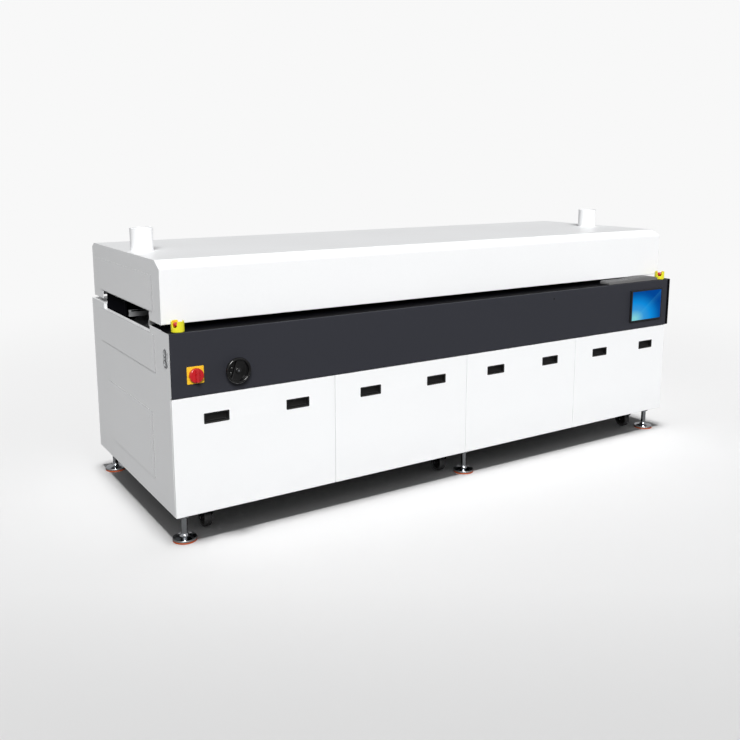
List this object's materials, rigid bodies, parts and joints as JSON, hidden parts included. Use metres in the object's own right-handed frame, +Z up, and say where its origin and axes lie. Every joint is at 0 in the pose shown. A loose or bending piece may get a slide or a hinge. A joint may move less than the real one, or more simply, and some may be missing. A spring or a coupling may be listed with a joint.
{
  "type": "reflow oven",
  "caption": "Long floor-standing inline reflow oven with a rear-hinged lifting hood, front service doors, dark control fascia, open board tunnel and two round exhaust spigots.",
  "frame": {"origin": "floor level, under the middle of the bounding box", "axes": "+X along the tunnel from the entry end (handwheel and isolator) to the exit end (monitor), +Y from the front doors to the back, +Z up"},
  "size_m": [3.61, 1.387, 1.508],
  "materials": {
    "white_paint": "satin",
    "frame_paint": "satin",
    "charcoal_paint": "satin",
    "black_paint": "matte",
    "steel": "brushed",
    "stainless": "polished",
    "rail_aluminium": "satin",
    "black_plastic": "matte",
    "gloss_black": "gloss",
    "screen": "gloss",
    "yellow_plastic": "gloss",
    "lime_plastic": "gloss",
    "red_plastic": "gloss",
    "grey_plastic": "matte",
    "tyre": "matte",
    "motor_paint": "satin"
  },
  "bodies": {
    "base": {"base_frame": "frame_paint", "frame_beams": "frame_paint", "end_panels": "white_paint", "end_covers": "white_paint", "rear_panels": "white_paint", "fascia_panel": "charcoal_paint", "monitor": "black_plastic", "monitor_screen": "screen", "isolator_base": "yellow_plastic", "width_chain_case": "steel", "estop_guards": "lime_plastic", "keyboard": "grey_plastic", "signal_ports": "black_plastic", "tunnel_trough": "steel", "deck_panels": "black_paint", "mouth_shutters": "black_paint", "lower_chambers": "steel", "fixed_rail": "rail_aluminium", "mesh_belt": "stainless", "belt_motor": "motor_paint", "control_cabinet": "frame_paint", "hood_hinge_brackets": "steel"},
    "hood": {"hood_shell": "white_paint", "hood_end_plates": "white_paint", "hood_ribs": "frame_paint", "upper_chambers": "steel", "exhaust_stacks": "white_paint"},
    "lift_tubes": {"lift_tubes": "stainless"},
    "lift_rods": {"lift_rods": "stainless"},
    "isolator_knob": {"isolator_knob": "red_plastic"},
    "width_handwheel": {"width_handwheel": "gloss_black"},
    "movable_rail": {"movable_rail": "rail_aluminium"},
    "lead_screw_entry": {"lead_screw_entry": "steel"},
    "lead_screw_exit": {"lead_screw_exit": "steel"},
    "estop_button_entry": {"estop_button_entry": "red_plastic"},
    "estop_button_exit": {"estop_button_exit": "red_plastic"},
    "belt_drive_drum": {"belt_drive_drum": "steel"},
    "belt_tail_drum": {"belt_tail_drum": "steel"},
    "front_door_1": {"front_door_1": "white_paint"},
    "front_door_2": {"front_door_2": "white_paint"},
    "front_door_3": {"front_door_3": "white_paint"},
    "front_door_4": {"front_door_4": "white_paint"},
    "levelling_foot_1": {"levelling_foot_1": "stainless"},
    "castor_fork_1": {"castor_fork_1": "black_paint"},
    "castor_wheel_1": {"castor_wheel_1": "tyre"},
    "levelling_foot_2": {"levelling_foot_2": "stainless"},
    "castor_fork_2": {"castor_fork_2": "black_paint"},
    "castor_wheel_2": {"castor_wheel_2": "tyre"},
    "levelling_foot_3": {"levelling_foot_3": "stainless"},
    "castor_fork_3": {"castor_fork_3": "black_paint"},
    "castor_wheel_3": {"castor_wheel_3": "tyre"},
    "levelling_foot_4": {"levelling_foot_4": "stainless"},
    "castor_fork_4": {"castor_fork_4": "black_paint"},
    "castor_wheel_4": {"castor_wheel_4": "tyre"},
    "levelling_foot_5": {"levelling_foot_5": "stainless"},
    "castor_fork_5": {"castor_fork_5": "black_paint"},
    "castor_wheel_5": {"castor_wheel_5": "tyre"},
    "levelling_foot_6": {"levelling_foot_6": "stainless"},
    "castor_fork_6": {"castor_fork_6": "black_paint"},
    "castor_wheel_6": {"castor_wheel_6": "tyre"}
  },
  "joints": [
    {"name": "hood_hinge", "type": "hinge", "parent": "base", "child": "hood", "pos_m": [0, 0.6485, 1.069], "axis": [-1, 0, 0], "range_deg": [0, 50]},
    {"name": "lift_tube_swing", "type": "hinge", "parent": "base", "child": "lift_tubes", "pos_m": [0, 0.63281, 0.88968], "axis": [-1, 0, 0], "range_deg": [0, 25]},
    {"name": "lift_rod_slide", "type": "slide", "parent": "lift_tubes", "child": "lift_rods", "axis": [0, -0.6428, 0.766], "range_m": [0, 0.0887]},
    {"name": "front_door_1_pull", "type": "slide", "parent": "base", "child": "front_door_1", "axis": [0, -1, 0], "range_m": [0, 0.1]},
    {"name": "front_door_2_pull", "type": "slide", "parent": "base", "child": "front_door_2", "axis": [0, -1, 0], "range_m": [0, 0.1]},
    {"name": "front_door_3_pull", "type": "slide", "parent": "base", "child": "front_door_3", "axis": [0, -1, 0], "range_m": [0, 0.1]},
    {"name": "front_door_4_pull", "type": "slide", "parent": "base", "child": "front_door_4", "axis": [0, -1, 0], "range_m": [0, 0.1]},
    {"name": "isolator_turn", "type": "hinge", "parent": "base", "child": "isolator_knob", "pos_m": [-1.674, -0.6555, 0.84], "axis": [0, -1, 0], "range_deg": [0, 90]},
    {"name": "rail_width_slide", "type": "slide", "parent": "base", "child": "movable_rail", "axis": [0, 1, 0], "range_m": [-0.25, 0.1]},
    {"name": "width_handwheel_turn", "type": "hinge", "parent": "base", "child": "width_handwheel", "pos_m": [-1.462, -0.3765, 0.84], "axis": [0, 1, 0], "range_deg": [-9000, 3600]},
    {"name": "lead_screw_entry_turn", "type": "hinge", "parent": "base", "child": "lead_screw_entry", "pos_m": [-1.462, -0.3765, 1.033], "axis": [0, 1, 0], "range_deg": [-9000, 3600]},
    {"name": "lead_screw_exit_turn", "type": "hinge", "parent": "base", "child": "lead_screw_exit", "pos_m": [1.44, -0.3765, 1.033], "axis": [0, 1, 0], "range_deg": [-9000, 3600]},
    {"name": "estop_entry_press", "type": "slide", "parent": "base", "child": "estop_button_entry", "axis": [0, 0, -1], "range_m": [0, 0.005], "stiffness_N_per_m": 800, "springref_m": -0.01},
    {"name": "estop_exit_press", "type": "slide", "parent": "base", "child": "estop_button_exit", "axis": [0, 0, -1], "range_m": [0, 0.005], "stiffness_N_per_m": 800, "springref_m": -0.01},
    {"name": "belt_drive_turn", "type": "hinge", "parent": "base", "child": "belt_drive_drum", "pos_m": [1.645, -0.3765, 0.923], "axis": [0, 1, 0], "continuous": true},
    {"name": "belt_tail_turn", "type": "hinge", "parent": "base", "child": "belt_tail_drum", "pos_m": [-1.667, -0.3765, 0.923], "axis": [0, 1, 0], "continuous": true},
    {"name": "levelling_foot_1_screw", "type": "slide", "parent": "base", "child": "levelling_foot_1", "axis": [0, 0, 1], "range_m": [-0.03, 0]},
    {"name": "levelling_foot_2_screw", "type": "slide", "parent": "base", "child": "levelling_foot_2", "axis": [0, 0, 1], "range_m": [-0.03, 0]},
    {"name": "levelling_foot_3_screw", "type": "slide", "parent": "base", "child": "levelling_foot_3", "axis": [0, 0, 1], "range_m": [-0.03, 0]},
    {"name": "levelling_foot_4_screw", "type": "slide", "parent": "base", "child": "levelling_foot_4", "axis": [0, 0, 1], "range_m": [-0.03, 0]},
    {"name": "levelling_foot_5_screw", "type": "slide", "parent": "base", "child": "levelling_foot_5", "axis": [0, 0, 1], "range_m": [-0.03, 0]},
    {"name": "levelling_foot_6_screw", "type": "slide", "parent": "base", "child": "levelling_foot_6", "axis": [0, 0, 1], "range_m": [-0.03, 0]},
    {"name": "castor_1_swivel", "type": "hinge", "parent": "base", "child": "castor_fork_1", "pos_m": [-1.602, -0.5575, 0.127], "axis": [0, 0, 1], "continuous": true},
    {"name": "castor_1_roll", "type": "hinge", "parent": "castor_fork_1", "child": "castor_wheel_1", "pos_m": [-1.602, -0.5275, 0.056], "axis": [1, 0, 0], "continuous": true},
    {"name": "castor_2_swivel", "type": "hinge", "parent": "base", "child": "castor_fork_2", "pos_m": [-0.102, -0.5575, 0.127], "axis": [0, 0, 1], "continuous": true},
    {"name": "castor_2_roll", "type": "hinge", "parent": "castor_fork_2", "child": "castor_wheel_2", "pos_m": [-0.102, -0.5275, 0.056], "axis": [1, 0, 0], "continuous": true},
    {"name": "castor_3_swivel", "type": "hinge", "parent": "base", "child": "castor_fork_3", "pos_m": [1.538, -0.5575, 0.127], "axis": [0, 0, 1], "continuous": true},
    {"name": "castor_3_roll", "type": "hinge", "parent": "castor_fork_3", "child": "castor_wheel_3", "pos_m": [1.538, -0.5275, 0.056], "axis": [1, 0, 0], "continuous": true},
    {"name": "castor_4_swivel", "type": "hinge", "parent": "base", "child": "castor_fork_4", "pos_m": [-1.602, 0.5025, 0.127], "axis": [0, 0, 1], "continuous": true},
    {"name": "castor_4_roll", "type": "hinge", "parent": "castor_fork_4", "child": "castor_wheel_4", "pos_m": [-1.602, 0.5325, 0.056], "axis": [1, 0, 0], "continuous": true},
    {"name": "castor_5_swivel", "type": "hinge", "parent": "base", "child": "castor_fork_5", "pos_m": [-0.102, 0.5025, 0.127], "axis": [0, 0, 1], "continuous": true},
    {"name": "castor_5_roll", "type": "hinge", "parent": "castor_fork_5", "child": "castor_wheel_5", "pos_m": [-0.102, 0.5325, 0.056], "axis": [1, 0, 0], "continuous": true},
    {"name": "castor_6_swivel", "type": "hinge", "parent": "base", "child": "castor_fork_6", "pos_m": [1.538, 0.5025, 0.127], "axis": [0, 0, 1], "continuous": true},
    {"name": "castor_6_roll", "type": "hinge", "parent": "castor_fork_6", "child": "castor_wheel_6", "pos_m": [1.538, 0.5325, 0.056], "axis": [1, 0, 0], "continuous": true}
  ],
  "couplings": [
    {"joint": "lift_tube_swing", "follows": "hood_hinge", "ratio": 0.5},
    {"joint": "lift_rod_slide", "follows": "hood_hinge", "m_per_rad": 0.1016},
    {"joint": "width_handwheel_turn", "follows": "rail_width_slide", "rad_per_m": 628.32},
    {"joint": "lead_screw_entry_turn", "follows": "rail_width_slide", "rad_per_m": 628.32},
    {"joint": "lead_screw_exit_turn", "follows": "rail_width_slide", "rad_per_m": 628.32},
    {"joint": "belt_tail_turn", "follows": "belt_drive_turn", "ratio": 1}
  ]
}
